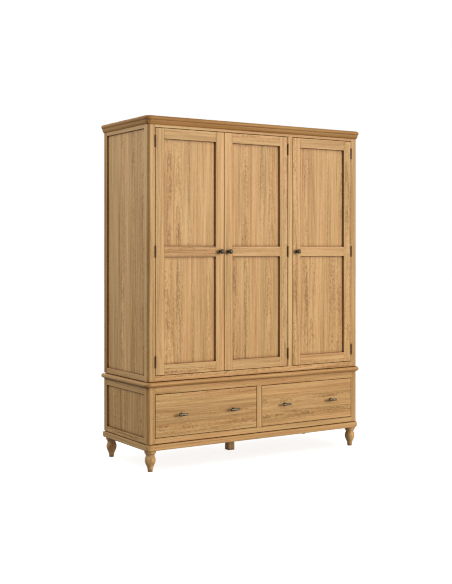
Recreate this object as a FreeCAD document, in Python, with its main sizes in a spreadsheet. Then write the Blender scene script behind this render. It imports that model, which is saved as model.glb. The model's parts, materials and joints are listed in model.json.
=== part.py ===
import FreeCAD, Part
import math
import os
from types import SimpleNamespace

import Sketcher

V = FreeCAD.Vector
Z_AXIS = V(0, 0, 1)
SAME_PLACE = 0.1

# Driving dimensions in millimetres: alias, value, meaning. Levels are heights above the floor.
DIMENSIONS = (
    ("body_width", 1500, "carcass over its two sides"),
    ("body_depth", 555, "carcass from face frame to back"),
    ("total_height", 1990, "floor to top of cornice"),
    ("front_reach", 34, "knobs and handles in front of the face frame"),
    ("corner_radius", 20, "outer vertical corners in plan"),
    ("edge_radius", 1.2, "easing on the edges of solid timber"),
    ("board_thickness", 18, "top, floor and partition boards"),
    ("frame_thickness", 24, "rails, rear posts and mullion"),
    ("back_thickness", 6, "plywood backs"),
    ("back_inset", 4, "backs in from the rear face"),
    ("groove_depth", 8, "panel grooves"),
    ("groove_slack", 0.5, "room left at the bottom of a groove"),
    ("gap", 3, "clearance round doors and drawer fronts"),
    ("post_width", 46.5, "front posts seen from the front"),
    ("post_depth", 44, "front posts seen from the side"),
    ("rear_post_depth", 40, "rear posts seen from the side"),
    ("side_recess", 9, "side panels in from the outside"),
    ("side_panel_thickness", 9, "side panels"),
    ("mullion_width", 34.4, "upright between second and third door"),
    ("divider_width", 33.8, "upright between the drawers"),
    ("leg_height", 118, "level of the underside of the plinth"),
    ("plinth_height", 35, "plinth moulding"),
    ("plinth_overhang", 8, "plinth moulding beyond the carcass"),
    ("plinth_round", 9, "rounding on the plinth moulding's two outer edges"),
    ("base_rail_level", 187, "top of the base bottom rails"),
    ("drawer_opening_top", 433.5, "underside of the base top rail"),
    ("waist_bottom", 474, "underside of the waist moulding"),
    ("waist_top", 501.5, "top of the waist moulding"),
    ("shadow_gap", 3, "open joint over the plinth moulding and over the waist moulding"),
    ("upper_rail_level", 536, "top of the upper bottom rail and floor"),
    ("door_opening_top", 1926.5, "underside of the upper top rail"),
    ("cornice_bottom", 1942, "underside of the cornice"),
    ("cornice_nose_radius", 13, "rounded nose of the cornice"),
    ("cornice_nose_drop", 24.3, "lower end of the nose below the top"),
    ("cornice_quirk", 1.7, "small upright between the nose and the ovolo"),
    ("cornice_ovolo_reach", 12.5, "ovolo's upper edge beyond the carcass"),
    ("cornice_ovolo_round", 9.5, "middle of the ovolo beyond the carcass"),
    ("cornice_ovolo_level", 10, "middle of the ovolo above the cornice's underside"),
    ("cornice_foot", 1.5, "ovolo's lower edge beyond the carcass"),
    ("side_top_rail_level", 1921, "underside of the upper side top rails"),
    ("moulding_overhang", 19, "cornice and waist moulding beyond the carcass"),
    ("moulding_lip", 15, "mouldings in from the outside of the carcass"),
    ("door_thickness", 22, "doors and drawer fronts"),
    ("stile_width", 56, "door stiles"),
    ("door_rail_width", 58, "door rails"),
    ("panel_recess", 12, "door panels behind the door's face"),
    ("panel_thickness", 6, "door panels"),
    ("knob_radius", 13.8, "knob at its rim"),
    ("knob_shoulder_radius", 13, "knob at either side of its rim"),
    ("knob_back_level", 21, "rear edge of the rim in front of the door"),
    ("knob_face_level", 27, "front edge of the rim in front of the door"),
    ("knob_flare_radius", 8.8, "knob in the middle of its flare"),
    ("knob_flare_level", 12.5, "middle of the flare"),
    ("knob_stem_radius", 6.5, "flare at the rose"),
    ("knob_rose_radius", 8.6, "rose against the door"),
    ("knob_rose_height", 3, "thickness of the rose"),
    ("knob_rose_shoulder", 8, "rose at its rounded shoulder"),
    ("knob_rose_shoulder_level", 1.8, "shoulder of the rose"),
    ("handle_length", 56, "bar of the drawer handle"),
    ("handle_radius", 6.5, "bar of the drawer handle at its middle"),
    ("handle_tip_radius", 6.4, "bar of the drawer handle at its ends"),
    ("handle_stand", 27.5, "axis of the bar in front of the drawer"),
    ("handle_foot_radius", 8, "foot of the handle's stem"),
    ("handle_foot_height", 2, "foot of the handle's stem"),
    ("handle_flare_radius", 5.5, "stem in the middle of its flare"),
    ("handle_flare_level", 4.5, "middle of the stem's flare"),
    ("handle_flare_top", 9, "upper end of the stem's flare"),
    ("handle_stem_radius", 4.5, "stem of the handle"),
    ("handle_spread", 175, "handle from the middle of its drawer"),
    ("hinge_length", 64, "barrel of the hinge"),
    ("hinge_spread", 617.5, "outer hinges from the middle of the door"),
    ("barrel_radius", 3.2, "hinge barrel"),
    ("barrel_stand", 3.5, "hinge axis in front of the face frame"),
    ("finial_radius", 2.4, "round ends of the hinge pin"),
    ("web_root", 2.1, "knuckles' webs, from the hinge axis"),
    ("pin_radius", 1.4, "hinge pin"),
    ("pin_clearance", 0.05, "running fit of the pin, on the radius"),
    ("knuckle_gap", 0.3, "between neighbouring knuckles"),
    ("leaf_thickness", 1.3, "hinge leaf"),
    ("leaf_reach", 20, "hinge leaf behind the barrel"),
    ("rail_tube_radius", 12.5, "hanging rail"),
    ("rail_tube_wall", 1.5, "wall of the hanging rail"),
    ("rail_level", 1860, "axis of the hanging rail"),
    ("socket_radius", 22, "flange of the rail socket"),
    ("socket_thickness", 4, "flange of the rail socket"),
    ("socket_collar", 10, "collar of the rail socket"),
    ("catch_width", 46, "door catch"),
    ("catch_depth", 16, "door catch"),
    ("catch_height", 34, "door catch"),
    ("drawer_side_thickness", 12, "drawer sides and backs"),
    ("drawer_side_height", 190, "drawer sides and backs"),
    ("drawer_box_depth", 480, "drawer sides, front to back"),
    ("drawer_box_inset", 1, "drawer sides in from the edge of the front"),
    ("drawer_box_lift", 5, "drawer sides above the base bottom rails"),
    ("drawer_bottom_thickness", 6, "drawer bottoms"),
    ("drawer_bottom_lift", 8, "drawer bottoms above the drawer sides' lower edge"),
    ("drawer_groove_depth", 5, "grooves for the drawer bottoms"),
    ("runner_thickness", 22, "drawer runners under the drawer sides"),
    ("runner_overlap", 14, "drawer runners in under the drawer sides"),
    ("guide_height", 24, "drawer guides beside the drawer sides"),
    ("guide_play", 1.5, "drawer guides from the drawer sides"),
    ("slide_play", 0.3, "drawer sides above their runners"),
    ("bearer_width", 60, "bearer over the support leg"),
    ("end_bearer_width", 51, "bearers over the turned legs"),
    ("support_leg_side", 43, "square support leg"),
    ("support_leg_setback", 326, "support leg's centre behind the face frame"),
    ("leg_inset", 33, "leg centres in from the sides, the front and the back"),
    ("leg_foot_radius", 13.5, "leg at the floor"),
    ("leg_ankle_radius", 15.2, "leg at the ankle"),
    ("leg_ankle_level", 12, "ankle"),
    ("leg_hollow_radius", 18.15, "leg in the middle of the ankle's hollow"),
    ("leg_hollow_level", 25.5, "middle of the ankle's hollow"),
    ("leg_shin_radius", 23.9, "leg where the ankle's hollow turns into the bulb"),
    ("leg_shin_level", 39, "lower end of the bulb"),
    ("leg_bulb_radius", 30.4, "leg at the bulb"),
    ("leg_bulb_level", 61, "fullest part of the bulb"),
    ("leg_shoulder_radius", 27.9, "leg where the bulb turns into the neck"),
    ("leg_shoulder_level", 80, "upper end of the bulb"),
    ("leg_neck_radius", 24.4, "leg at the neck"),
    ("leg_neck_level", 91, "thinnest part of the neck"),
    ("leg_ring_radius", 28.5, "leg at the foot of the collar"),
    ("leg_ring_level", 100, "lower edge of the collar"),
    ("leg_cushion_radius", 31.65, "rounding of the collar's lower edge"),
    ("leg_cushion_level", 105, "middle of the collar's rounding"),
    ("leg_collar_radius", 33, "collar under the carcass"),
    ("leg_collar_level", 110, "fullest part of the collar"),
)

doc = FreeCAD.newDocument("wardrobe")
sub_parts = []


class Size:
    """A length: the expression that binds it to the sheet, and its value in millimetres."""

    def __init__(self, formula, value):
        self.formula = formula
        self.value = value

    def __add__(self, other):
        return Size(f"({self.formula} + {as_size(other).formula})", self.value + as_size(other).value)

    def __sub__(self, other):
        return Size(f"({self.formula} - {as_size(other).formula})", self.value - as_size(other).value)

    def __mul__(self, factor):
        return Size(f"({self.formula} * {factor})", self.value * factor)

    def __truediv__(self, divisor):
        return Size(f"({self.formula} / {divisor})", self.value / divisor)

    def __neg__(self):
        return Size(f"(-1 * {self.formula})", -self.value)


def as_size(length):
    return length if isinstance(length, Size) else Size(str(length), length)


def make_sheet():
    """The spreadsheet of driving dimensions, and a Size for each of its cells."""
    sheet = doc.addObject("Spreadsheet::Sheet", "dims")
    for row, (alias, value, meaning) in enumerate(DIMENSIONS, 1):
        sheet.set(f"A{row}", str(value))
        sheet.setAlias(f"A{row}", alias)
        sheet.set(f"B{row}", meaning)
    doc.recompute()
    return SimpleNamespace(**{alias: Size(f"dims.{alias}", value) for alias, value, _ in DIMENSIONS})


D = make_sheet()

# Planes of the carcass. The origin is on the floor, in the middle of the whole object's box.
LEFT = -D.body_width / 2
RIGHT = D.body_width / 2
FRONT = (D.front_reach - D.body_depth) / 2
BACK = (D.front_reach + D.body_depth) / 2
FRAME_BACK = FRONT + D.frame_thickness
DOOR_BACK = FRONT + D.door_thickness
BACK_PANEL_REAR = BACK - D.back_inset
BACK_PANEL_FRONT = BACK_PANEL_REAR - D.back_thickness
POST_INSIDE = LEFT + D.post_width
SIDE_INSIDE = LEFT + D.frame_thickness
PANEL_OUTSIDE = LEFT + D.side_recess
PANEL_INSIDE = PANEL_OUTSIDE + D.side_panel_thickness
BASE_BOTTOM = D.leg_height + D.plinth_height + D.shadow_gap
UPPER_BOTTOM = D.waist_top + D.shadow_gap
BASE_TOP = UPPER_BOTTOM - D.board_thickness
UPPER_TOP = D.total_height - D.board_thickness
DOOR_BOTTOM = D.upper_rail_level + D.gap
DOOR_TOP = D.door_opening_top - D.gap
DOOR_MIDDLE = (DOOR_BOTTOM + DOOR_TOP) / 2
DOOR_WIDTH = (D.body_width - D.post_width * 2 - D.mullion_width - D.gap * 5) / 3
MULLION_LEFT = POST_INSIDE + DOOR_WIDTH * 2 + D.gap * 3
MULLION_RIGHT = MULLION_LEFT + D.mullion_width
PARTITION_LEFT = (MULLION_LEFT + MULLION_RIGHT - D.board_thickness) / 2
PARTITION_RIGHT = PARTITION_LEFT + D.board_thickness
DIVIDER_RIGHT = D.divider_width / 2
DIVIDER_LEFT = -DIVIDER_RIGHT
DRAWER_PARTITION_LEFT = -D.board_thickness / 2


# Building blocks

def place(item, x, y, z, rotation=FreeCAD.Rotation()):
    """Move an object to a place bound to the sheet."""
    item.Placement = FreeCAD.Placement(V(), rotation)
    for axis, position in zip("xyz", (x, y, z)):
        item.setExpression(f"Placement.Base.{axis}", as_size(position).formula)
    return item


def board(name, x, y, z):
    """A plain board that fills a low and a high position on each axis."""
    box = doc.addObject("Part::Box", name)
    for side, (low, high) in zip(("Length", "Width", "Height"), (x, y, z)):
        box.setExpression(side, (as_size(high) - low).formula)
    return place(box, x[0], y[0], z[0])


def rounded(name, source, radius, wanted=lambda edge: True):
    """The source with the wanted edges rounded."""
    doc.recompute()
    fillet = doc.addObject("Part::Fillet", name)
    fillet.Base = source
    numbered = enumerate(source.Shape.Edges, 1)
    fillet.Edges = [(number, radius.value, radius.value) for number, edge in numbered if wanted(edge)]
    return fillet


def cut(name, base, tools):
    """The base with every tool taken away."""
    for number, tool in enumerate(tools, 1):
        result = doc.addObject("Part::Cut", f"{name}_cut_{number}")
        result.Base = base
        result.Tool = tool
        base = result
    return base


def fuse(name, pieces):
    result = doc.addObject("Part::MultiFuse", name)
    result.Shapes = pieces
    return result


def plank(name, x, y, z, grooves=()):
    """A solid timber with eased edges, and grooves cut into it."""
    timber = rounded(f"{name}_eased", board(f"{name}_blank", x, y, z), D.edge_radius)
    return cut(name, timber, grooves)


def mirrored(name, source):
    """The source's mirror image on the other side of the middle plane."""
    mirror = doc.addObject("Part::Mirroring", name)
    mirror.Source = source
    mirror.Normal = V(1, 0, 0)
    return mirror


def sub_part(label, *pieces):
    """Register the pieces as one sub-part, which is one file."""
    item = pieces[0]
    if len(pieces) > 1:
        item = doc.addObject("Part::Compound", label)
        item.Links = list(pieces)
    item.Label = label
    sub_parts.append(item)
    return item


def pair(label, left):
    """One sub-part of two pieces, left and right."""
    return sub_part(label, left, mirrored(f"{label}_mirror", left))


def left_and_right(label, left):
    """Two sub-parts, left and right."""
    right = mirrored(f"{label}_mirror", left)
    sub_part(f"{label}_left", left)
    sub_part(f"{label}_right", right)


# Sketches

def origin_plane(body, role):
    return next(item for item in body.Origin.OriginFeatures if item.Role == role)


def new_sketch(body, name, role):
    sketch = body.newObject("Sketcher::SketchObject", name)
    sketch.AttachmentSupport = (origin_plane(body, role), [""])
    sketch.MapMode = "FlatFace"
    return sketch


def fix_coordinate(sketch, geometry, point, axis, length):
    """Bind one coordinate of a point of the sketch; axis is 0 across and 1 up."""
    length = as_size(length)
    if abs(length.value) < 1e-9:
        sketch.addConstraint(Sketcher.Constraint("PointOnObject", geometry, point, (-2, -1)[axis]))
        return
    kind = ("DistanceX", "DistanceY")[axis]
    number = sketch.addConstraint(Sketcher.Constraint(kind, -1, 1, geometry, point, float(length.value)))
    sketch.setExpression(f"Constraints[{number}]", length.formula)


def arc_through(first, middle, last):
    """An anticlockwise arc over three points, and whether it starts at the first."""
    circle = Part.Arc(first, middle, last).toShape().Curve
    centre = circle.Center
    angles = [math.atan2(point.y - centre.y, point.x - centre.x) for point in (first, middle, last)]
    turn = 2 * math.pi
    to_middle = (angles[1] - angles[0]) % turn
    to_last = (angles[2] - angles[0]) % turn
    starts_first = to_middle < to_last
    start, sweep = (angles[0], to_last) if starts_first else (angles[2], turn - to_last)
    upright = Part.Circle(centre, Z_AXIS, circle.Radius)
    return Part.ArcOfCircle(upright, start, start + sweep), starts_first


def draw_outline(sketch, corners, bulges):
    """A closed outline: bulges names the sides that are arcs, with a point that each passes over."""
    points = [V(as_size(u).value, as_size(v).value, 0) for u, v in corners]
    ends = []
    for side, first in enumerate(points):
        last = points[(side + 1) % len(points)]
        if side in bulges:
            middle = V(*(as_size(value).value for value in bulges[side]), 0)
            arc, starts_first = arc_through(first, middle, last)
            sketch.addGeometry(arc)
            chord = last - first
            free_axis = 0 if abs(chord.y) > abs(chord.x) else 1
            fix_coordinate(sketch, side, 3, free_axis, arc.Center[free_axis])
            ends.append((1, 2) if starts_first else (2, 1))
        else:
            sketch.addGeometry(Part.LineSegment(first, last))
            ends.append((1, 2))
    for side, (start, end) in enumerate(ends):
        following = (side + 1) % len(points)
        sketch.addConstraint(Sketcher.Constraint("Coincident", side, end, following, ends[following][0]))
        for axis in (0, 1):
            fix_coordinate(sketch, side, start, axis, corners[side][axis])


def turned(name, corners, bulges):
    """A piece turned about its own Z axis from half of its outline."""
    body = doc.addObject("PartDesign::Body", name)
    sketch = new_sketch(body, f"{name}_outline", "XZ_Plane")
    draw_outline(sketch, corners, bulges)
    turning = body.newObject("PartDesign::Revolution", f"{name}_turning")
    turning.Profile = sketch
    turning.ReferenceAxis = (sketch, ["V_Axis"])
    turning.Angle = 360
    return body


# Mouldings. Each length is swept from its square end to the middle of a rounded corner, where it is mitred.

def moulding_length(name, corners, bulges, run):
    body = doc.addObject("PartDesign::Body", name)
    profile = new_sketch(body, f"{name}_profile", "YZ_Plane")
    draw_outline(profile, corners, bulges)
    path = new_sketch(body, f"{name}_path", "XY_Plane")
    end = V(run.value, 0, 0)
    radius = D.corner_radius.value
    path.addGeometry(Part.LineSegment(V(), end))
    corner = Part.Circle(end + V(0, radius, 0), Z_AXIS, radius)
    path.addGeometry(Part.ArcOfCircle(corner, -math.pi / 2, -math.pi / 4))
    path.addConstraint(Sketcher.Constraint("Coincident", 0, 1, -1, 1))
    path.addConstraint(Sketcher.Constraint("Horizontal", 0))
    path.addConstraint(Sketcher.Constraint("Tangent", 0, 2, 1, 1))
    number = path.addConstraint(Sketcher.Constraint("DistanceX", 0, 1, 0, 2, float(run.value)))
    path.setExpression(f"Constraints[{number}]", run.formula)
    number = path.addConstraint(Sketcher.Constraint("Radius", 1, float(radius)))
    path.setExpression(f"Constraints[{number}]", D.corner_radius.formula)
    sweep = body.newObject("PartDesign::AdditivePipe", f"{name}_sweep")
    sweep.Profile = profile
    sweep.Spine = path
    return body, sweep


def moulding(label, level, corners, bulges):
    """Front, left and right lengths of a moulding whose profile starts at a level."""
    front, sweep = moulding_length(f"{label}_front", corners, bulges, D.body_width / 2 - D.corner_radius)
    other_half = front.newObject("PartDesign::Mirrored", f"{label}_other_half")
    other_half.Originals = [sweep]
    other_half.MirrorPlane = (origin_plane(front, "YZ_Plane"), [""])
    front.Tip = other_half
    place(front, 0, FRONT, level)
    left, _ = moulding_length(f"{label}_side", corners, bulges, D.body_depth - D.corner_radius)
    place(left, LEFT, BACK, level, FreeCAD.Rotation(Z_AXIS, -90))
    sub_part(label, front, left, mirrored(f"{label}_mirror", left))


def make_cornice():
    """A rounded nose over a quirk and an ovolo, with a lip that runs in over the posts."""
    height = D.total_height - D.cornice_bottom
    lip = UPPER_TOP - D.cornice_bottom
    nose = D.cornice_nose_radius - D.moulding_overhang
    nose_end = height - D.cornice_nose_drop
    reach = -D.cornice_ovolo_reach
    corners = [(nose, height), (D.moulding_lip, height), (D.moulding_lip, lip), (0, lip), (0, 0),
               (-D.cornice_foot, 0), (reach, nose_end - D.cornice_quirk), (reach, nose_end)]
    tip = (-D.moulding_overhang, height - D.cornice_nose_radius)
    ovolo = (-D.cornice_ovolo_round, D.cornice_ovolo_level)
    moulding("cornice_moulding", D.cornice_bottom, corners, {5: ovolo, 7: tip})


def make_waist():
    """A half round with a lip that runs in over the posts."""
    height = D.waist_top - D.waist_bottom
    lip = BASE_TOP - D.waist_bottom
    nose = height / 2 - D.moulding_overhang
    corners = [(nose, height), (D.moulding_lip, height), (D.moulding_lip, lip), (0, lip), (0, 0), (nose, 0)]
    moulding("waist_moulding", D.waist_bottom, corners, {5: (-D.moulding_overhang, height / 2)})


def make_plinth():
    """A flat strip round the foot of the base, with its two outer edges rounded."""
    out = -D.plinth_overhang
    crown = out + D.plinth_round
    shoulder = D.plinth_height - D.plinth_round
    slope = 1 - math.sqrt(0.5)
    over = (out + D.plinth_round * slope, D.plinth_height - D.plinth_round * slope)
    under = (out + D.plinth_round * slope, D.plinth_round * slope)
    corners = [(D.moulding_lip, D.plinth_height), (crown, D.plinth_height), (out, shoulder),
               (out, D.plinth_round), (crown, 0), (D.moulding_lip, 0)]
    moulding("plinth_moulding", D.leg_height, corners, {1: over, 3: under})


# Carcass frames. The upper cabinet and the base are framed the same way, from bottom to top.

def front_post(name, bottom, top, groove):
    """A front post with its outer corner rounded and a groove for the side panel."""
    blank = board(f"{name}_blank", (LEFT, POST_INSIDE), (FRONT, FRONT + D.post_depth), (bottom, top))

    def outer_corner(edge):
        middle = edge.CenterOfMass
        return abs(middle.x - LEFT.value) < SAME_PLACE and abs(middle.y - FRONT.value) < SAME_PLACE

    return cut(name, rounded(f"{name}_rounded", blank, D.corner_radius, outer_corner), [groove])


def panel_groove(name, y, z):
    """The room of a side panel, as a tool to cut its groove in the posts and rails."""
    return board(name, (PANEL_OUTSIDE, PANEL_INSIDE), y, z)


def make_side(prefix, bottom, top, lower_rail_top, upper_rail_bottom):
    """Posts, rails and panel of both sides of a cabinet."""
    post_rear = FRONT + D.post_depth
    rear_post_front = BACK - D.rear_post_depth
    grooved_y = (post_rear - D.groove_depth, rear_post_front + D.groove_depth)
    grooved_z = (lower_rail_top - D.groove_depth, upper_rail_bottom + D.groove_depth)

    def groove(name):
        return panel_groove(f"{prefix}_{name}_groove", grooved_y, grooved_z)

    left_and_right(f"{prefix}_front_post", front_post(f"{prefix}_front_post", bottom, top, groove("post")))

    back_groove = board(f"{prefix}_back_groove", (SIDE_INSIDE - D.groove_depth, SIDE_INSIDE),
                        (BACK_PANEL_FRONT, BACK_PANEL_REAR), (bottom, top))
    side_x = (LEFT, SIDE_INSIDE)
    rear_post = plank(f"{prefix}_rear_post", side_x, (rear_post_front, BACK), (bottom, top),
                      [groove("rear_post"), back_groove])
    pair(f"{prefix}_rear_posts", rear_post)

    rail_y = (post_rear, rear_post_front)
    lower = plank(f"{prefix}_side_lower_rail", side_x, rail_y, (bottom, lower_rail_top), [groove("lower")])
    upper = plank(f"{prefix}_side_upper_rail", side_x, rail_y, (upper_rail_bottom, top), [groove("upper")])
    sub_part(f"{prefix}_side_rails", lower, upper,
             mirrored(f"{prefix}_lower_mirror", lower), mirrored(f"{prefix}_upper_mirror", upper))

    slack = D.groove_slack
    pair(f"{prefix}_side_panels", board(
        f"{prefix}_side_panel", (PANEL_OUTSIDE, PANEL_INSIDE),
        (grooved_y[0] + slack, grooved_y[1] - slack), (grooved_z[0] + slack, grooved_z[1] - slack)))


def face_rail(label, z):
    """A rail of the face frame, between the front posts."""
    sub_part(label, plank(label, (POST_INSIDE, -POST_INSIDE), (FRONT, FRAME_BACK), z))


def back_panel(label, z):
    reach = SIDE_INSIDE - D.groove_depth + D.groove_slack
    sub_part(label, board(label, (reach, -reach), (BACK_PANEL_FRONT, BACK_PANEL_REAR), z))


def lidding_board(label, top):
    """A board that closes a cabinet, inside the lip of its moulding."""
    edge = LEFT + D.moulding_lip
    front_edge = FRONT + D.moulding_lip
    blank = board(f"{label}_blank", (edge, -edge), (front_edge, BACK), (top - D.board_thickness, top))

    def front_corner(edge_line):
        middle = edge_line.CenterOfMass
        at_front = abs(middle.y - front_edge.value) < SAME_PLACE
        return at_front and abs(abs(middle.x) - abs(edge.value)) < SAME_PLACE

    corner = D.corner_radius - D.moulding_lip
    sub_part(label, rounded(f"{label}_rounded", blank, corner, front_corner))


def make_upper_cabinet():
    make_side("upper", UPPER_BOTTOM, UPPER_TOP, D.upper_rail_level, D.side_top_rail_level)
    face_rail("upper_top_rail", (D.door_opening_top, UPPER_TOP))
    face_rail("upper_bottom_rail", (UPPER_BOTTOM, D.upper_rail_level))
    sub_part("mullion", plank("mullion", (MULLION_LEFT, MULLION_RIGHT), (FRONT, FRAME_BACK),
                              (D.upper_rail_level, D.door_opening_top)))
    floor_z = (D.upper_rail_level - D.board_thickness, D.upper_rail_level)
    floor = board("floor_blank", (SIDE_INSIDE, -SIDE_INSIDE), (FRAME_BACK, BACK_PANEL_FRONT), floor_z)
    notch = board("floor_notch", (SIDE_INSIDE, POST_INSIDE), (FRAME_BACK, FRONT + D.post_depth), floor_z)
    sub_part("upper_floor", cut("upper_floor", floor, [notch, mirrored("floor_notch_mirror", notch)]))
    sub_part("partition", board("partition", (PARTITION_LEFT, PARTITION_RIGHT),
                                (FRAME_BACK, BACK_PANEL_FRONT), (D.upper_rail_level, UPPER_TOP)))
    back_panel("upper_back_panel", (UPPER_BOTTOM, UPPER_TOP))
    lidding_board("top_panel", D.total_height)


def make_base():
    make_side("base", BASE_BOTTOM, BASE_TOP, D.base_rail_level, D.drawer_opening_top)
    face_rail("base_top_rail", (D.drawer_opening_top, BASE_TOP))
    face_rail("base_bottom_rail", (BASE_BOTTOM, D.base_rail_level))
    sub_part("drawer_divider", plank("drawer_divider", (DIVIDER_LEFT, DIVIDER_RIGHT), (FRONT, FRAME_BACK),
                                     (D.base_rail_level, D.drawer_opening_top)))
    sub_part("drawer_partition", board("drawer_partition", (DRAWER_PARTITION_LEFT, -DRAWER_PARTITION_LEFT),
                                       (FRAME_BACK, BACK_PANEL_FRONT), (BASE_BOTTOM, BASE_TOP)))
    back_panel("base_back_panel", (BASE_BOTTOM, BASE_TOP))
    lidding_board("base_top_board", UPPER_BOTTOM)


def make_underframe():
    """The frame inside the plinth that the base stands on and the legs are fixed to."""
    front = FRONT + D.moulding_lip
    front_rear = front + D.frame_thickness
    rear_front = BACK - D.frame_thickness
    end = LEFT + D.moulding_lip
    z = (D.leg_height, BASE_BOTTOM)
    corner = LEFT + D.corner_radius
    half_bearer = D.bearer_width / 2
    end_bearer = plank("end_bearer", (end, end + D.end_bearer_width), (front_rear, rear_front), z)
    sub_part("base_underframe",
             plank("front_bearer", (corner, -corner), (front, front_rear), z),
             plank("rear_bearer", (end, -end), (rear_front, BACK), z),
             plank("middle_bearer", (-half_bearer, half_bearer), (front_rear, rear_front), z),
             end_bearer, mirrored("end_bearer_mirror", end_bearer))


# Doors and their furniture

def make_door(name, left_edge, hinge_on_left):
    right_edge = left_edge + DOOR_WIDTH
    door_y = (FRONT, DOOR_BACK)
    panel_y = (FRONT + D.panel_recess, FRONT + D.panel_recess + D.panel_thickness)
    inner_left = left_edge + D.stile_width
    inner_right = right_edge - D.stile_width
    sunk = D.groove_depth
    middle_bottom = DOOR_MIDDLE - D.door_rail_width / 2
    fields = ((DOOR_BOTTOM + D.door_rail_width, middle_bottom),
              (middle_bottom + D.door_rail_width, DOOR_TOP - D.door_rail_width))

    def grooves(piece):
        """The room that each of the two panels takes up in the stiles and rails."""
        return [board(f"{name}_{piece}_groove_{number}", (inner_left - sunk, inner_right + sunk), panel_y,
                      (low - sunk, high + sunk)) for number, (low, high) in enumerate(fields, 1)]

    door_z = (DOOR_BOTTOM, DOOR_TOP)
    sub_part(f"{name}_stiles",
             plank(f"{name}_stile_1", (left_edge, inner_left), door_y, door_z, grooves("stile_1")),
             plank(f"{name}_stile_2", (inner_right, right_edge), door_y, door_z, grooves("stile_2")))

    levels = ((DOOR_BOTTOM, fields[0][0]), (fields[0][1], fields[1][0]), (fields[1][1], DOOR_TOP))
    touched = (slice(0, 1), slice(0, 2), slice(1, 2))
    sub_part(f"{name}_rails", *(
        plank(f"{name}_rail_{number}", (inner_left, inner_right), door_y, z, grooves(f"rail_{number}")[near])
        for number, (z, near) in enumerate(zip(levels, touched), 1)))

    tuck = D.groove_depth - D.groove_slack
    sub_part(f"{name}_panels", *(
        board(f"{name}_panel_{number}", (inner_left - tuck, inner_right + tuck), panel_y,
              (low - tuck, high + tuck)) for number, (low, high) in enumerate(fields, 1)))

    half_stile = D.stile_width / 2
    make_knob(f"{name}_knob", right_edge - half_stile if hinge_on_left else left_edge + half_stile)
    axis = left_edge - D.gap / 2 if hinge_on_left else right_edge + D.gap / 2
    leaves = [hinge_leaf(f"{name}_leaf_{number}", axis, level, hinge_on_left, on_door=True)
              for number, level in enumerate(hinge_levels(), 1)]
    sub_part(f"{name}_hinge_leaves", *leaves)
    return axis


def make_knob(label, x):
    """A mushroom knob: rose, flare, rim and domed face, turned about an axis that points forward."""
    corners = [(0, 0), (D.knob_rose_radius, 0), (D.knob_stem_radius, D.knob_rose_height),
               (D.knob_shoulder_radius, D.knob_back_level), (D.knob_shoulder_radius, D.knob_face_level),
               (0, D.front_reach)]
    rim = (D.knob_radius, (D.knob_back_level + D.knob_face_level) / 2)
    rise = D.front_reach.value - D.knob_face_level.value
    sphere = (D.knob_shoulder_radius.value ** 2 + rise ** 2) / (2 * rise)
    half_way = D.knob_shoulder_radius.value / 2
    dome = (half_way, D.front_reach.value - sphere + math.sqrt(sphere ** 2 - half_way ** 2))
    knob = turned(label, corners, {1: (D.knob_rose_shoulder, D.knob_rose_shoulder_level),
                                   2: (D.knob_flare_radius, D.knob_flare_level),
                                   3: rim,
                                   4: dome})
    place(knob, x, FRONT, DOOR_MIDDLE, FreeCAD.Rotation(V(1, 0, 0), 90))
    sub_part(label, knob)


def hinge_levels():
    return (DOOR_MIDDLE - D.hinge_spread, DOOR_MIDDLE, DOOR_MIDDLE + D.hinge_spread)


def hinge_leaf(name, axis, level, hinge_on_left, on_door):
    """One leaf of a butt hinge with five knuckles: the frame's leaf has three of them, and the pin."""
    knuckle = D.hinge_length / 5
    half = D.hinge_length / 2
    near_side, far_side = D.gap / 2 - D.leaf_thickness, D.gap / 2
    leaf_x = (near_side, far_side) if on_door else (-far_side, -near_side)
    clear_of_barrel = D.barrel_radius + D.knuckle_gap
    pieces = [board(f"{name}_plate", leaf_x, (clear_of_barrel, D.leaf_reach), (-half, half))]
    for number in (1, 3) if on_door else (0, 2, 4):
        bottom = -half + knuckle * number + D.knuckle_gap / 2
        height = knuckle - D.knuckle_gap
        barrel = doc.addObject("Part::Cylinder", f"{name}_knuckle_{number}")
        barrel.setExpression("Radius", D.barrel_radius.formula)
        barrel.setExpression("Height", height.formula)
        pieces.append(place(barrel, 0, 0, bottom))
        pieces.append(board(f"{name}_web_{number}", leaf_x, (D.web_root, clear_of_barrel),
                            (bottom, bottom + height)))
    if not on_door:
        pieces += hinge_pin(name, half)
    leaf = fuse(f"{name}_fused", pieces)
    if on_door:
        bore = doc.addObject("Part::Cylinder", f"{name}_bore")
        bore.setExpression("Radius", (D.pin_radius + D.pin_clearance).formula)
        bore.setExpression("Height", D.hinge_length.formula)
        leaf = cut(name, leaf, [place(bore, 0, 0, -half)])
    half_turn = FreeCAD.Rotation(V(0, 1, 0), 0 if hinge_on_left else 180)
    return place(leaf, axis, FRONT - D.barrel_stand, level, half_turn)


def hinge_pin(name, half):
    """The pin down the barrel, with a round finial at each end."""
    pin = doc.addObject("Part::Cylinder", f"{name}_pin")
    pin.setExpression("Radius", D.pin_radius.formula)
    pin.setExpression("Height", D.hinge_length.formula)
    place(pin, 0, 0, -half)
    finials = []
    for number, end in enumerate((-half, half)):
        finial = doc.addObject("Part::Sphere", f"{name}_finial_{number}")
        finial.setExpression("Radius", D.finial_radius.formula)
        finials.append(place(finial, 0, 0, end))
    return [pin] + finials


def make_doors():
    """Three doors: the first hangs on the left post, the second on the mullion, the third on the right."""
    first = POST_INSIDE + D.gap
    doors = (("door_left", first, True),
             ("door_middle", first + DOOR_WIDTH + D.gap, False),
             ("door_right", MULLION_RIGHT + D.gap, False))
    frame_leaves = []
    for name, left_edge, hinge_on_left in doors:
        axis = make_door(name, left_edge, hinge_on_left)
        frame_leaves += [hinge_leaf(f"{name}_frame_leaf_{number}", axis, level, hinge_on_left, on_door=False)
                         for number, level in enumerate(hinge_levels(), 1)]
    sub_part("frame_hinge_leaves", *frame_leaves)


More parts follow.
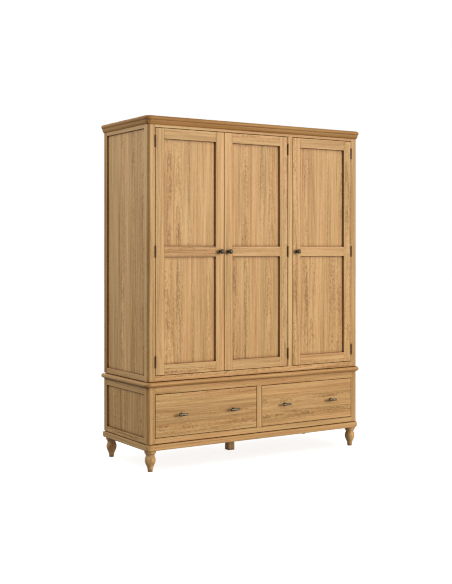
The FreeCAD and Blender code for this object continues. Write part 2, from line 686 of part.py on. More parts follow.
def make_catches():
    """One catch behind the top rail for the free edge of each door."""
    free_edges = (POST_INSIDE + D.gap + DOOR_WIDTH - D.catch_width, POST_INSIDE + D.gap * 2 + DOOR_WIDTH,
                  MULLION_RIGHT + D.gap)
    bottom = D.door_opening_top - D.catch_height / 2
    sub_part("door_catches", *(
        plank(f"catch_{number}", (edge, edge + D.catch_width), (FRAME_BACK, FRAME_BACK + D.catch_depth),
              (bottom, bottom + D.catch_height)) for number, edge in enumerate(free_edges, 1)))


# Inside fittings

def hanging_rail(name, left_wall, right_wall):
    """A tube between two walls, and the socket on each wall."""
    tube_y = (FRAME_BACK + BACK_PANEL_FRONT) / 2
    flange = D.socket_thickness
    outside = D.rail_tube_radius
    inside = outside - D.rail_tube_wall
    length = right_wall - left_wall - flange * 2
    along_x = FreeCAD.Rotation(V(0, 1, 0), 90)
    rail = turned(f"{name}_tube", [(inside, 0), (outside, 0), (outside, length), (inside, length)], {})
    place(rail, left_wall + flange, tube_y, D.rail_level, along_x)

    rim = D.socket_radius
    collar = outside + D.rail_tube_wall * 2
    mouth = flange + D.socket_collar
    outline = [(0, 0), (rim, 0), (rim, flange / 2), (rim - flange, flange), (collar, flange),
               (collar, mouth), (outside, mouth), (outside, flange), (0, flange)]
    sockets = [place(turned(f"{name}_socket_{number}", outline, {}), wall, tube_y, D.rail_level, rotation)
               for number, wall, rotation in ((1, left_wall, along_x), (2, right_wall, along_x.inverted()))]
    return rail, sockets


def make_hanging_rails():
    left_rail, left_sockets = hanging_rail("rail_left", PANEL_INSIDE, PARTITION_LEFT)
    right_rail, right_sockets = hanging_rail("rail_right", PARTITION_RIGHT, -PANEL_INSIDE)
    sub_part("hanging_rails", left_rail, right_rail)
    sub_part("rail_sockets", *left_sockets, *right_sockets)


# Drawers

def make_drawer(name, left_edge, right_edge):
    front_z = (D.base_rail_level + D.gap, D.drawer_opening_top - D.gap)
    sub_part(f"{name}_front", plank(f"{name}_front", (left_edge, right_edge), (FRONT, DOOR_BACK), front_z))

    side_left = left_edge + D.drawer_box_inset
    side_right = right_edge - D.drawer_box_inset
    inner_left = side_left + D.drawer_side_thickness
    inner_right = side_right - D.drawer_side_thickness
    box_y = (DOOR_BACK, DOOR_BACK + D.drawer_box_depth)
    back_y = (box_y[1] - D.drawer_side_thickness, box_y[1])
    box_bottom = D.base_rail_level + D.drawer_box_lift
    box_z = (box_bottom, box_bottom + D.drawer_side_height)
    floor_z = (box_bottom + D.drawer_bottom_lift,
               box_bottom + D.drawer_bottom_lift + D.drawer_bottom_thickness)
    floor_x = (inner_left - D.drawer_groove_depth, inner_right + D.drawer_groove_depth)
    floor_y = (box_y[0], back_y[0])

    def groove(piece):
        return board(f"{name}_{piece}_groove", floor_x, floor_y, floor_z)

    sub_part(f"{name}_box",
             plank(f"{name}_side_1", (side_left, inner_left), box_y, box_z, [groove("side_1")]),
             plank(f"{name}_side_2", (inner_right, side_right), box_y, box_z, [groove("side_2")]),
             plank(f"{name}_back", (inner_left, inner_right), back_y, box_z))
    sub_part(f"{name}_bottom", board(f"{name}_bottom", floor_x, floor_y, floor_z))

    middle = (left_edge + right_edge) / 2
    level = (front_z[0] + front_z[1]) / 2
    sub_part(f"{name}_handles", make_handle(f"{name}_handle_1", middle - D.handle_spread, level),
             make_handle(f"{name}_handle_2", middle + D.handle_spread, level))


def make_handle(name, x, level):
    """A short bar, fuller in the middle, on one flared stem."""
    half = D.handle_length / 2
    tip = D.handle_tip_radius
    bar = turned(f"{name}_bar", [(0, -half), (tip, -half), (tip, half), (0, half)],
                 {1: (D.handle_radius, 0)})
    place(bar, 0, 0, D.handle_stand, FreeCAD.Rotation(V(0, 1, 0), 90))
    foot = D.handle_foot_radius
    neck = D.handle_stem_radius
    stem = turned(f"{name}_stem", [(0, 0), (foot, 0), (foot, D.handle_foot_height),
                                   (neck, D.handle_flare_top), (neck, D.handle_stand), (0, D.handle_stand)],
                  {2: (D.handle_flare_radius, D.handle_flare_level)})
    handle = fuse(f"{name}_fused", [bar, stem])
    return place(handle, x, FRONT, level, FreeCAD.Rotation(V(1, 0, 0), 90))


def runner(name, wall, drawer_side, inward, front_end):
    """A runner under a drawer side with a guide beside it, fixed to a wall; inward is 1 or -1."""
    top = D.base_rail_level + D.drawer_box_lift - D.slide_play
    bottom = top - D.runner_thickness
    runner_y = (front_end, BACK_PANEL_FRONT)
    shelf_edge = drawer_side + D.runner_overlap * inward
    guide_edge = drawer_side - D.guide_play * inward

    def span(edge):
        return (wall, edge) if inward > 0 else (edge, wall)

    return fuse(name, [board(f"{name}_shelf", span(shelf_edge), runner_y, (bottom, top)),
                       board(f"{name}_guide", span(guide_edge), runner_y, (bottom, top + D.guide_height))])


def make_drawers():
    left_edge = POST_INSIDE + D.gap
    right_edge = DIVIDER_LEFT - D.gap
    make_drawer("drawer_left", left_edge, right_edge)
    make_drawer("drawer_right", -right_edge, -left_edge)
    outer = runner("runner_outer", SIDE_INSIDE, left_edge + D.drawer_box_inset, 1, FRONT + D.post_depth)
    inner = runner("runner_inner", DRAWER_PARTITION_LEFT, right_edge - D.drawer_box_inset, -1, FRAME_BACK)
    sub_part("drawer_runners", outer, inner, mirrored("runner_outer_mirror", outer),
             mirrored("runner_inner_mirror", inner))


# Feet

def make_leg(label, x, y):
    """A turned leg: ankle, bulb, neck and collar."""
    corners = [(0, 0), (D.leg_foot_radius, 0), (D.leg_ankle_radius, D.leg_ankle_level),
               (D.leg_shin_radius, D.leg_shin_level), (D.leg_shoulder_radius, D.leg_shoulder_level),
               (D.leg_ring_radius, D.leg_ring_level), (D.leg_collar_radius, D.leg_collar_level),
               (D.leg_collar_radius, D.leg_height), (0, D.leg_height)]
    leg = turned(label, corners, {2: (D.leg_hollow_radius, D.leg_hollow_level),
                                  3: (D.leg_bulb_radius, D.leg_bulb_level),
                                  4: (D.leg_neck_radius, D.leg_neck_level),
                                  5: (D.leg_cushion_radius, D.leg_cushion_level)})
    sub_part(label, place(leg, x, y, 0))


def make_feet():
    for end, y in (("front", FRONT + D.leg_inset), ("rear", BACK - D.leg_inset)):
        make_leg(f"leg_{end}_left", LEFT + D.leg_inset, y)
        make_leg(f"leg_{end}_right", RIGHT - D.leg_inset, y)
    half = D.support_leg_side / 2
    middle = FRONT + D.support_leg_setback
    sub_part("support_leg", plank("support_leg", (-half, half), (middle - half, middle + half),
                                  (0, D.leg_height)))


def check_and_export():
    """Stop on any failed object or bad shape, then write one file for each sub-part."""
    doc.recompute()
    for item in doc.Objects:
        if "Invalid" in item.State or "Error" in item.State:
            raise RuntimeError(f"{item.Label} failed: {item.State}")
    for item in sub_parts:
        if item.Shape.isNull() or not item.Shape.isValid() or not item.Shape.Solids:
            raise RuntimeError(f"{item.Label} has no valid solid")
    os.makedirs("parts", exist_ok=True)
    for item in sub_parts:
        item.Shape.exportStep(f"parts/{item.Label}.step")
        print(item.Label, len(item.Shape.Solids), "solids", round(item.Shape.Volume / 1000), "cm3")


make_cornice()
make_upper_cabinet()
make_doors()
make_catches()
make_hanging_rails()
make_waist()
make_base()
make_underframe()
make_drawers()
make_plinth()
make_feet()
check_and_export()
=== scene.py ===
import json
import math
import random
import zlib
from collections import Counter

import bpy
import numpy as np
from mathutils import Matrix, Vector

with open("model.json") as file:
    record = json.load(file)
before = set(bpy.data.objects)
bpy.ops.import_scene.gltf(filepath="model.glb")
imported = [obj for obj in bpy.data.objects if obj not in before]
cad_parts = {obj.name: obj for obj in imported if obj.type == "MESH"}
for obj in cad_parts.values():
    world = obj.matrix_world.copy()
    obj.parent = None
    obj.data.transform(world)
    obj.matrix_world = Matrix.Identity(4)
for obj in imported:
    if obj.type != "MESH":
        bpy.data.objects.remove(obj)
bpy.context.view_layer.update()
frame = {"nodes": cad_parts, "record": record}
NODES = frame["nodes"]
SLOT_OF = {row["node"]: row["material_slot"] for row in frame["record"]["subparts"]}

# Camera: where it stands, in metres in the object's frame, how far it is turned to the right, its lens in
# millimetres, its shift as a part of the picture's height, and the width of the smoothing in pixels.
CAMERA_PLACE = (-3.423, -5.267, 1.242)
CAMERA_TURN = math.radians(32.49)
CAMERA_LENS = 62.81
CAMERA_SHIFT = -0.0725
PIXEL_FILTER = 1.2

# Light: strength of the surroundings straight below and straight above, then three soft boxes by their turn
# to the right of the front in degrees, distance, height and side in metres, power in watts, and colour.
AMBIENT_LOW, AMBIENT_HIGH = 0.16, 0.46
SOFT_BOXES = {
    "key": (30, 20.0, 5.0, 8.8, 3230, (1.0, 0.895, 0.75)),
    "fill": (-118, 4.6, 3.3, 1.6, 97, (1.0, 0.99, 0.97)),
    "rear": (160, 6.0, 3.0, 4.0, 255, (1.0, 0.97, 0.93)),
}
AIM = Vector((0, 0, 1))
FLOOR_STRENGTH = 3.0
FLOOR_SIZE = 60.0
FLOOR_DROP = 0.0005
FLOOR_COLOUR = (0.93, 0.93, 0.93, 1)
FLOOR_ROUGHNESS = 0.7

# Timber colours, linear: dark, middle and light, and the tone at which each of them stands.
OAK = ((0.215, 0.102, 0.030), (0.520, 0.306, 0.128), (0.740, 0.496, 0.250))
PALE_TIMBER = ((0.42, 0.27, 0.13), (0.62, 0.44, 0.25), (0.74, 0.57, 0.37))
PLYWOOD = ((0.33, 0.20, 0.09), (0.50, 0.33, 0.17), (0.62, 0.45, 0.26))
STAINED_TIMBER = ((0.16, 0.09, 0.042), (0.37, 0.225, 0.11), (0.50, 0.32, 0.165))
TONE_STOPS = (0.24, 0.64, 0.99)

# Metal and plastic colours, linear: dark and light. The plating has one.
PEWTER = ((0.035, 0.032, 0.024), (0.24, 0.225, 0.18))
BRONZE = ((0.045, 0.032, 0.02), (0.19, 0.135, 0.08))
PLATING = (0.82, 0.82, 0.84)
CATCH_PLASTIC = ((0.18, 0.1, 0.05), (0.26, 0.16, 0.09))

# What multiplies a timber's colour: in its pores, in warmer and cooler patches, where the timber is warmer or
# painted darker as shade, as painted shade in crevices, and as painted shade on the rounded corners, less on
# the base.
PORE = (0.46, 0.32, 0.19)
WARM_PATCH, COOL_PATCH = (1.04, 0.985, 0.93), (0.955, 0.97, 0.93)
WARM_AND_SHADED = (0.66, 0.56, 0.40)
PAINTED_CREVICE_SHADE = (0.22, 0.08, 0.006)
ROUNDED_CORNER_SHADE = (0.62, 0.56, 0.46)
ROUNDED_CORNER_SHADE_ON_BASE = 0.7

# How warm the timber of some nodes is, from 0 to 1, by the start of the node's name. The first match counts.
# The factor darkens as much as it warms: partly a warmer tone, partly painted shade where less light falls.
WARMTH_AND_SHADE = {
    "cornice": 0.95, "waist": 0.55, "plinth": 0.38, "base_rear_posts": 0.6, "upper_rear_posts": 0.9,
    "base_": 0.34, "drawer_left_front": 0.22, "drawer_right_front": 0.26, "drawer_divider": 0.2, "leg_": 0.1,
    "door_middle": 0.05, "door_right": 0.08, "upper_front_post_right": 0.26, "upper_side": 0.04,
}

# How logs grow, in metres and years. The pith lies aside of a stave's middle and behind its face, leans by a
# part of the stave's length, and wanders. Rings show most near the pith: between these distances aside of it,
# their strength goes from one value to the other.
PITH_ASIDE = 0.075
PITH_DEPTH = (0.02, 0.07)
PITH_LEAN = (0.012, 0.045)
PITH_WANDER = 0.03
YEARS_PER_METRE = 118.0
UNEVEN_YEARS = 1.6
JAGGED_YEARS = 2.1
LATE_WOOD_POWER = 3.0
FIGURE_REACH = (0.012, 0.045)
FIGURE_STRENGTH = (1.05, 0.45)

# Noise over three coordinates: a scale for each, then detail and roughness.
WANDER_FIELD = ((1.0, 5.0, 1.6), 2.0, 0.45)
GROWTH_FIELD = ((42.0, 1.0, 0.5), 3.5, 0.72)
JAG_FIELD = ((95.0, 1.0, 52.0), 2.0, 0.6)
FIBRE_FIELD = ((420.0, 420.0, 7.0), 3.0, 0.65)
PORE_FIELD = ((1150.0, 1150.0, 42.0), 1.0, 0.5)
STREAK_FIELD = ((62.0, 62.0, 1.4), 3.0, 0.68)
PATCH_FIELD = ((16.0, 1.0, 0.9), 1.0, 0.5)
DRAWN_FIELD = ((4.0, 900.0, 900.0), 2.0, 0.5)

# Noise that is alike in all directions: its scale, detail and roughness.
BLOTCHES = (260.0, 4.0, 0.62)
SPECKLES = (1900.0, 2.0, 0.5)
PLASTIC_GRAIN = (1400.0, 3.0, 0.6)

# The part of each noise that is used, from its low end to its high end.
GROWTH_RANGE, STREAK_RANGE, FIBRE_RANGE = (0.32, 0.68), (0.34, 0.66), (0.3, 0.7)
PORE_RANGE, PATCH_RANGE, BLOTCH_RANGE, MARK_RANGE = (0.60, 0.72), (0.36, 0.64), (0.3, 0.7), (0.3, 0.7)

# What each noise adds to a timber's tone, which runs from the dark colour to the light one, and to a metal's.
GROWTH_SHARE, FIGURE_SHARE, STREAK_SHARE, FIBRE_SHARE = 0.24, 0.50, 0.38, 0.06
BLOTCH_SHARE, SPECKLE_SHARE = 0.75, 0.25

# How strongly pores darken the timber. They are fewer in late wood: from this much of it to that much, their
# strength goes from one value to another.
PORE_STRENGTH = 0.36
PORES_IN_LATE_WOOD = (0.0, 0.8, 1.0, 0.25)

# Hue of the darker and of the lighter staves, and the shade of the marks in the plating.
DARK_TINT, LIGHT_TINT = (1.0, 0.985, 0.96), (1.0, 1.0, 0.99)
PLATING_SHADE = 0.82

# Painted shade in crevices: how far away a surface still darkens another, in metres, then the openness at
# which the painted shade is darkest and that at which it ends.
PAINTED_SHADE_REACH = 0.022
PAINTED_SHADE_RANGE = (0.34, 0.94)
PAINTED_SHADE_SAMPLES = 6

# Gloss: what is even on all timber, the part of its fibres that changes the roughness, and what is added to
# each surface's own roughness at either end.
WOOD_GLOSS = {"IOR": 1.46, "Specular_IOR_Level": 0.3}
WOOD_GLOSS_RANGE = (0.2, 0.8)
WOOD_ROUGHER, METAL_ROUGHER, PLATING_ROUGHER = (-0.05, 0.07), (0.1, -0.08), (0.0, 0.08)

# Relief of each surface: its height in metres and its strength.
WOOD_RELIEF, METAL_RELIEF, PLASTIC_RELIEF = (0.00022, 0.55), (0.00025, 0.5), (0.0001, 0.4)
FIBRE_RELIEF = 0.5

# Large steps that give each board and stave its own part of the noise.
BOARD_STEP, BOARD_SEED, BOARD_SHIFT, STAVE_SHIFT = 50.0, 97.0, 31.0, 1.37
RUN_SEED, RUN_SHIFT, CHANCE_SEED = 3.1, 3.0, 3

# Vertices that round to the same one of this many places to the metre, on all three axes, count as one.
PLACES_PER_METRE = 1e5

WOODEN_SLOTS = ("oak", "oak_panel", "drawer_wood", "plywood", "dark_wood")
UPRIGHT_GRAIN = ("base_side_panels", "base_back_panel", "upper_back_panel")
UPRIGHT_AXIS = 2
GLUED_FROM_STAVES = ("drawer_left_front", "drawer_right_front")

# Sockets of the Mix node, which has several of each name: its factor, its two colours and its result.
MIX_FACTOR, MIX_FIRST, MIX_SECOND, MIX_RESULT = 0, 6, 7, 2


# Shader graphs

class Graph:
    """A material's nodes, with one call for each kind that the materials below use."""

    def __init__(self, name):
        self.material = bpy.data.materials.new(name)
        self.material.use_nodes = True
        self.tree = self.material.node_tree
        self.shader = self.tree.nodes["Principled BSDF"]

    def add(self, kind, values, **settings):
        node = self.tree.nodes.new(kind)
        for key, value in settings.items():
            setattr(node, key, value)
        for key, value in values.items():
            self.put(node.inputs[key], value)
        return node

    def put(self, socket, value):
        if isinstance(value, bpy.types.NodeSocket):
            self.tree.links.new(value, socket)
        else:
            socket.default_value = value

    def set(self, **values):
        """Shader sockets by name, with underscores for spaces."""
        for key, value in values.items():
            self.put(self.shader.inputs[key.replace("_", " ")], value)

    def attribute(self, name, output="Fac"):
        return self.add("ShaderNodeAttribute", {}, attribute_name=name).outputs[output]

    def object_place(self):
        return self.add("ShaderNodeTexCoord", {}).outputs["Object"]

    def math(self, operation, first, second=0.0):
        return self.add("ShaderNodeMath", {0: first, 1: second}, operation=operation).outputs[0]

    def plus(self, *terms):
        total = terms[0]
        for term in terms[1:]:
            total = self.math("ADD", total, term)
        return total

    def times(self, first, second):
        return self.math("MULTIPLY", first, second)

    def join(self, x, y, z):
        return self.add("ShaderNodeCombineXYZ", {0: x, 1: y, 2: z}).outputs[0]

    def split(self, vector):
        return self.add("ShaderNodeSeparateXYZ", {0: vector}).outputs

    def noise(self, vector, scale, detail, roughness):
        values = {"Vector": vector, "Scale": scale, "Detail": detail, "Roughness": roughness}
        return self.add("ShaderNodeTexNoise", values).outputs["Fac"]

    def field(self, coordinates, settings):
        """Noise over three coordinates, each with its own scale."""
        scales, detail, roughness = settings
        pairs = zip(coordinates, scales)
        scaled = (item if scale == 1 else self.times(item, scale) for item, scale in pairs)
        return self.noise(self.join(*scaled), 1.0, detail, roughness)

    def spread(self, factor, low, high, to_low=0.0, to_high=1.0):
        """Map a range of the factor onto another, and stop at its ends."""
        values = {"Value": factor, "From Min": low, "From Max": high, "To Min": to_low, "To Max": to_high}
        return self.add("ShaderNodeMapRange", values).outputs[0]

    def ramp(self, factor, stops):
        node = self.add("ShaderNodeValToRGB", {0: factor})
        elements = node.color_ramp.elements
        while len(elements) < len(stops):
            elements.new(0.5)
        for element, (position, colour) in zip(elements, stops):
            element.position = position
            element.color = (*colour, 1.0)
        return node.outputs[0]

    def multiply(self, factor, colour, other):
        """The colour, multiplied by another one as far as the factor says."""
        node = self.add("ShaderNodeMix", {}, data_type="RGBA", blend_type="MULTIPLY")
        self.put(node.inputs[MIX_FACTOR], factor)
        self.put(node.inputs[MIX_FIRST], colour)
        self.put(node.inputs[MIX_SECOND], other if isinstance(other, bpy.types.NodeSocket) else (*other, 1.0))
        return node.outputs[MIX_RESULT]

    def bump(self, height, distance, strength):
        values = {"Height": height, "Distance": distance, "Strength": strength}
        return self.add("ShaderNodeBump", values).outputs[0]


def paint_crevice_shade(graph, colour):
    """Painted shade: darken the colour in the joints and inner corners, the more the less open they are."""
    openness = graph.add("ShaderNodeAmbientOcclusion", {"Distance": PAINTED_SHADE_REACH},
                         samples=PAINTED_SHADE_SAMPLES).outputs["AO"]
    return graph.multiply(graph.spread(openness, *PAINTED_SHADE_RANGE, 1.0, 0.0), colour, PAINTED_CREVICE_SHADE)


# Wood. Each board carries its own coordinates: across the board, through it and along its grain.

def ring_distance(graph, in_stave, through, run, shift, chances):
    """Distance from the pith, and the part of it that is across the board."""
    aside, depth, lean = chances
    wander = graph.field((shift, in_stave, run), WANDER_FIELD)
    sideways = graph.plus(in_stave, graph.spread(aside, 0, 1, -PITH_ASIDE, PITH_ASIDE),
                          graph.spread(wander, 0, 1, -PITH_WANDER, PITH_WANDER))
    depth = graph.plus(through, graph.spread(depth, 0, 1, *PITH_DEPTH))
    straight = graph.math("SQRT", graph.plus(graph.times(sideways, sideways), graph.times(depth, depth)))
    lean = graph.times(run, graph.spread(lean, 0, 1, *PITH_LEAN))
    distance = graph.plus(straight, lean, graph.times(wander, PITH_WANDER))
    return distance, graph.math("ABSOLUTE", sideways)


def stave_coordinates(graph, stave_width):
    """Place within the stave, through it and along it, a shift of its own, and three numbers drawn for it."""
    across, through, along = graph.split(graph.attribute("grain", "Vector"))
    board = graph.attribute("board")
    shifted = graph.plus(across, graph.times(graph.plus(board, BOARD_STEP), stave_width))
    stave = graph.math("FLOOR", graph.math("DIVIDE", shifted, stave_width))
    middle = graph.times(graph.plus(stave, 0.5), stave_width)
    in_stave = graph.math("SUBTRACT", shifted, middle)
    seed = graph.join(stave, graph.times(board, BOARD_SEED), CHANCE_SEED)
    chances = graph.split(graph.add("ShaderNodeTexWhiteNoise", {"Vector": seed}).outputs["Color"])
    shift = graph.times(graph.plus(stave, graph.times(board, BOARD_SHIFT)), STAVE_SHIFT)
    start = graph.times(graph.math("FRACT", graph.times(shift, RUN_SEED)), RUN_SHIFT)
    return in_stave, through, graph.plus(along, start), shift, chances


def late_wood(graph, growth, radius, in_stave, run, shift):
    """How dark the year's growth is, from 0 in spring to 1 at its end."""
    jag = graph.field((in_stave, shift, run), JAG_FIELD)
    year = graph.plus(graph.times(radius, YEARS_PER_METRE), graph.times(growth, UNEVEN_YEARS),
                      graph.times(jag, JAGGED_YEARS))
    return graph.math("POWER", graph.math("FRACT", year), LATE_WOOD_POWER)


def tint_boards(graph, colour, patch, chance, tint_spread):
    """Warmer and cooler patches, lighter and darker staves, the node's warmth with its painted shade, and
    painted shade on its rounded corners.
    """
    patches = graph.ramp(patch, list(zip(PATCH_RANGE, (WARM_PATCH, COOL_PATCH))))
    darkest = tuple((1 - tint_spread) * channel for channel in DARK_TINT)
    lightest = tuple((1 + tint_spread) * channel for channel in LIGHT_TINT)
    tint = graph.ramp(chance, [(0.0, darkest), (1.0, lightest)])
    colour = graph.multiply(1.0, graph.multiply(1.0, colour, patches), tint)
    # The node's warmer tone, which is partly painted shade.
    colour = graph.multiply(graph.attribute("warmth_and_shade"), colour, WARM_AND_SHADED)
    # Painted shade half way round the posts' rounded corners.
    return graph.multiply(graph.attribute("corner_shade"), colour, ROUNDED_CORNER_SHADE)


def wood(name, stave_width, colours, tint_spread=0.06, pores=1.0, roughness=0.46):
    """Timber cut from logs: rings round a pith behind each stave, fibres and open pores along the grain."""
    graph = Graph(name)
    in_stave, through, run, shift, chances = stave_coordinates(graph, stave_width)
    radius, aside = ring_distance(graph, in_stave, through, run, shift, chances)
    growth = graph.field((radius, shift, run), GROWTH_FIELD)
    late = late_wood(graph, growth, radius, in_stave, run, shift)
    figure = graph.times(late, graph.spread(aside, *FIGURE_REACH, *FIGURE_STRENGTH))
    fibre = graph.field((in_stave, through, run), FIBRE_FIELD)
    streak = graph.field((in_stave, through, run), STREAK_FIELD)
    patch = graph.field((in_stave, shift, run), PATCH_FIELD)
    pore = graph.spread(graph.field((in_stave, through, run), PORE_FIELD), *PORE_RANGE)
    pore = graph.times(pore, graph.spread(late, *PORES_IN_LATE_WOOD))

    tone = graph.plus(graph.times(graph.spread(growth, *GROWTH_RANGE), GROWTH_SHARE),
                      graph.times(graph.math("SUBTRACT", 1.0, figure), FIGURE_SHARE),
                      graph.times(graph.spread(streak, *STREAK_RANGE), STREAK_SHARE),
                      graph.times(graph.spread(fibre, *FIBRE_RANGE), FIBRE_SHARE))
    colour = graph.ramp(tone, list(zip(TONE_STOPS, colours)))
    colour = graph.multiply(graph.times(pore, PORE_STRENGTH * pores), colour, PORE)
    colour = tint_boards(graph, colour, patch, chances[1], tint_spread)
    relief = graph.math("SUBTRACT", graph.times(fibre, FIBRE_RELIEF), pore)
    # Painted shade darkens the colour in joints, gaps and recesses.
    graph.set(Base_Color=paint_crevice_shade(graph, colour), **WOOD_GLOSS,
              Roughness=graph.spread(fibre, *WOOD_GLOSS_RANGE, *(roughness + step for step in WOOD_ROUGHER)),
              Normal=graph.bump(relief, *WOOD_RELIEF))
    return graph.material


def aged_metal(name, colours, metallic, roughness):
    """A patinated casting: darker in its blotches, brighter where hands have rubbed it."""
    graph = Graph(name)
    place = graph.object_place()
    blotch = graph.noise(place, *BLOTCHES)
    speckle = graph.noise(place, *SPECKLES)
    mixed = graph.plus(graph.times(blotch, BLOTCH_SHARE), graph.times(speckle, SPECKLE_SHARE))
    colour = graph.ramp(mixed, list(zip(PATCH_RANGE, colours)))
    # Painted shade darkens the metal in joints and hollows.
    graph.set(Base_Color=paint_crevice_shade(graph, colour), Metallic=metallic,
              Roughness=graph.spread(blotch, *BLOTCH_RANGE, *(roughness + step for step in METAL_ROUGHER)),
              Normal=graph.bump(mixed, *METAL_RELIEF))
    return graph.material


def plated(name, colour, roughness):
    """Bright plating with faint drawing marks along the tube."""
    graph = Graph(name)
    marks = graph.field(graph.split(graph.object_place()), DRAWN_FIELD)
    shade = tuple(channel * PLATING_SHADE for channel in colour)
    graph.set(Base_Color=graph.ramp(marks, list(zip(MARK_RANGE, (shade, colour)))), Metallic=1.0,
              Roughness=graph.spread(marks, *MARK_RANGE, *(roughness + step for step in PLATING_ROUGHER)))
    return graph.material


def moulded_plastic(name, colours, roughness):
    """Fine moulded grain."""
    graph = Graph(name)
    grain = graph.noise(graph.object_place(), *PLASTIC_GRAIN)
    graph.set(Base_Color=graph.ramp(grain, list(zip(MARK_RANGE, colours))), Roughness=roughness,
              Normal=graph.bump(grain, *PLASTIC_RELIEF))
    return graph.material


def make_materials():
    """The material of each slot. A stave's or board's width is in metres."""
    return {
        "oak": wood("oak_timber", 0.30, OAK),
        "oak_panel": wood("oak_staves", 0.104, OAK, tint_spread=0.085),
        "drawer_wood": wood("drawer_timber", 0.30, PALE_TIMBER, pores=0.4),
        "plywood": wood("plywood_face", 0.45, PLYWOOD, pores=0.5, roughness=0.6),
        "dark_wood": wood("stained_timber", 0.30, STAINED_TIMBER),
        "pewter": aged_metal("antique_pewter", PEWTER, metallic=0.9, roughness=0.46),
        "bronze": aged_metal("antique_bronze", BRONZE, metallic=0.85, roughness=0.42),
        "chrome": plated("rail_plating", PLATING, roughness=0.12),
        "catch_plastic": moulded_plastic("catch_moulding", CATCH_PLASTIC, roughness=0.5),
    }


# Board coordinates

def edges_of_faces(points, faces):
    """The faces on each edge, where vertices in one place count as one."""
    keys = {}
    rounded = np.round(points * PLACES_PER_METRE).astype(int).tolist()
    corner = [keys.setdefault(tuple(point), len(keys)) for point in rounded]
    edges = {}
    for number, face in enumerate(faces):
        for first, second in zip(face, face[1:] + face[:1]):
            edges.setdefault(frozenset((corner[first], corner[second])), []).append(number)
    return edges.values()


def solid_of_each_vertex(points, faces):
    """A number for each vertex: vertices of one closed solid get the same one.

    Faces belong together across an edge that two of them share. Where boards meet edge to edge, four faces
    share that edge. What this leaves on its own lies hidden in the joint, and the larger group has its
    vertices.
    """
    parent = list(range(len(faces)))

    def root(item):
        while parent[item] != item:
            parent[item] = parent[parent[item]]
            item = parent[item]
        return item

    for sharers in edges_of_faces(points, faces):
        if len(sharers) == 2:
            parent[root(sharers[1])] = root(sharers[0])
    owners = [root(number) for number in range(len(faces))]
    sizes = Counter(owners)
    solids = np.zeros(len(points), int)
    for number in sorted(range(len(faces)), key=lambda number: sizes[owners[number]]):
        solids[list(faces[number])] = owners[number]
    return solids


def add_attribute(mesh, name, kind, domain, values):
    field = "vector" if kind == "FLOAT_VECTOR" else "value"
    mesh.attributes.new(name, kind, domain).data.foreach_set(field, values)


def give_boards_their_grain(node, grain_axis=None):
    """Attributes of a CAD node's mesh: each board's own coordinates, a number drawn for it, and its warmth,
    which is partly painted shade.

    The grain goes along a board's longest side, or along the axis that is given.
    """
    mesh = NODES[node].data
    points = np.array([vertex.co for vertex in mesh.vertices])
    solids = solid_of_each_vertex(points, [tuple(face.vertices) for face in mesh.polygons])
    grain = np.zeros_like(points)
    board = np.zeros(len(points))
    chance = random.Random(zlib.crc32(node.encode()))
    for solid in sorted(set(solids), key=lambda number: tuple(points[solids == number].min(0))):
        chosen = solids == solid
        own = points[chosen]
        sides = own.max(0) - own.min(0)
        along = int(sides.argmax()) if grain_axis is None else grain_axis
        others = (axis for axis in range(3) if axis != along)
        across, through = sorted(others, key=lambda axis: -sides[axis])
        centre = (own.max(0) + own.min(0)) / 2
        grain[chosen] = (own - centre)[:, [across, through, along]]
        board[chosen] = chance.random()
    warmth_and_shade = next((value for start, value in WARMTH_AND_SHADE.items() if node.startswith(start)), 0.0)
    add_attribute(mesh, "grain", "FLOAT_VECTOR", "POINT", grain.ravel())
    add_attribute(mesh, "board", "FLOAT", "POINT", board)
    add_attribute(mesh, "warmth_and_shade", "FLOAT", "POINT", np.full(len(points), warmth_and_shade))


def paint_rounded_corner_shade(node):
    """Painted shade on a post's faces: nothing on the flat ones, and most half way round its rounded corner,
    which the lights reach least.
    """
    mesh = NODES[node].data
    most = ROUNDED_CORNER_SHADE_ON_BASE if node.startswith("base") else 1.0
    shade_amounts = [most * min(1.0, 4 * (face.normal.x * face.normal.y) ** 2) for face in mesh.polygons]
    add_attribute(mesh, "corner_shade", "FLOAT", "FACE", shade_amounts)


def dress_nodes(materials):
    """Give every CAD node the material of its slot, and every wooden one its grain."""
    for node, item in NODES.items():
        slot = SLOT_OF[node]
        if slot in WOODEN_SLOTS:
            give_boards_their_grain(node, grain_axis=UPRIGHT_AXIS if node in UPRIGHT_GRAIN else None)
        # The posts' rounded corners get painted shade.
        if node.endswith(("front_post_left", "front_post_right")):
            paint_rounded_corner_shade(node)
        look = "oak_panel" if node in GLUED_FROM_STAVES else slot
        item.data.materials.clear()
        item.data.materials.append(materials[look])


# Stage

def add_to_scene(name, data):
    item = bpy.data.objects.new(name, data)
    bpy.context.scene.collection.objects.link(item)
    return item


def soft_box(name, turn, distance, height, side, power, colour):
    """A square light that faces the middle of the object."""
    data = bpy.data.lights.new(name, "AREA")
    data.energy = power
    data.color = colour
    data.size = side
    light = add_to_scene(name, data)
    turn = math.radians(turn)
    light.location = Vector((math.sin(turn) * distance, -math.cos(turn) * distance, height))
    light.rotation_euler = (AIM - light.location).to_track_quat("-Z", "Y").to_euler()
    return light


def light_from_above():
    """Even light for the floor, without shadows."""
    data = bpy.data.lights.new("floor_light", "SUN")
    data.energy = FLOOR_STRENGTH
    data.use_shadow = False
    return add_to_scene("floor_light", data)


def shine_only_on(light, objects):
    """Limit a light to some objects."""
    group = bpy.data.collections.new(f"lit_by_{light.name}")
    for item in objects:
        group.objects.link(item)
    light.light_linking.receiver_collection = group


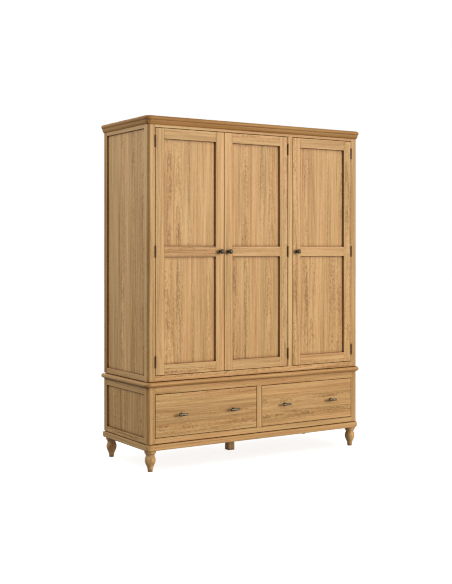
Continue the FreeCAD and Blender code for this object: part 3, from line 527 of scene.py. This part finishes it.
def make_world():
    """Even surroundings, brighter from above, and white where the camera sees them."""
    world = bpy.data.worlds.new("surroundings")
    bpy.context.scene.world = world
    world.use_nodes = True
    nodes, link = world.node_tree.nodes, world.node_tree.links.new
    background = nodes["Background"]
    background.inputs["Color"].default_value = (1, 1, 1, 1)
    direction = nodes.new("ShaderNodeSeparateXYZ")
    link(nodes.new("ShaderNodeTexCoord").outputs["Generated"], direction.inputs[0])
    rise = nodes.new("ShaderNodeMapRange")
    link(direction.outputs["Z"], rise.inputs["Value"])
    for key, value in (("From Min", -1.0), ("To Min", AMBIENT_LOW), ("To Max", AMBIENT_HIGH)):
        rise.inputs[key].default_value = value
    seen = nodes.new("ShaderNodeMapRange")
    link(nodes.new("ShaderNodeLightPath").outputs["Is Camera Ray"], seen.inputs["Value"])
    link(rise.outputs[0], seen.inputs["To Min"])
    link(seen.outputs[0], background.inputs["Strength"])


def make_floor():
    """A floor for the camera and the shadows, which adds no light or reflection to the object."""
    half = FLOOR_SIZE / 2
    mesh = bpy.data.meshes.new("floor")
    corners = [(-half, -half), (half, -half), (half, half), (-half, half)]
    mesh.from_pydata([(x, y, -FLOOR_DROP) for x, y in corners], [], [(0, 1, 2, 3)])
    graph = Graph("pale_floor")
    graph.set(Base_Color=FLOOR_COLOUR, Roughness=FLOOR_ROUGHNESS)
    mesh.materials.append(graph.material)
    floor = add_to_scene("floor", mesh)
    floor.visible_diffuse = False
    floor.visible_glossy = False
    return floor


def make_camera():
    """A level camera with a shifted lens."""
    data = bpy.data.cameras.new("camera")
    data.lens = CAMERA_LENS
    data.shift_y = CAMERA_SHIFT
    camera = add_to_scene("camera", data)
    camera.location = CAMERA_PLACE
    camera.rotation_euler = (math.pi / 2, 0, -CAMERA_TURN)
    bpy.context.scene.camera = camera


def make_stage():
    scene = bpy.context.scene
    make_camera()
    make_world()
    floor = make_floor()
    pieces = [item for item in scene.objects if item.type == "MESH" and item != floor]
    for name, settings in SOFT_BOXES.items():
        shine_only_on(soft_box(name, *settings), pieces)
    shine_only_on(light_from_above(), [floor])
    scene.view_settings.view_transform = "Standard"
    scene.cycles.filter_width = PIXEL_FILTER


dress_nodes(make_materials())
make_stage()
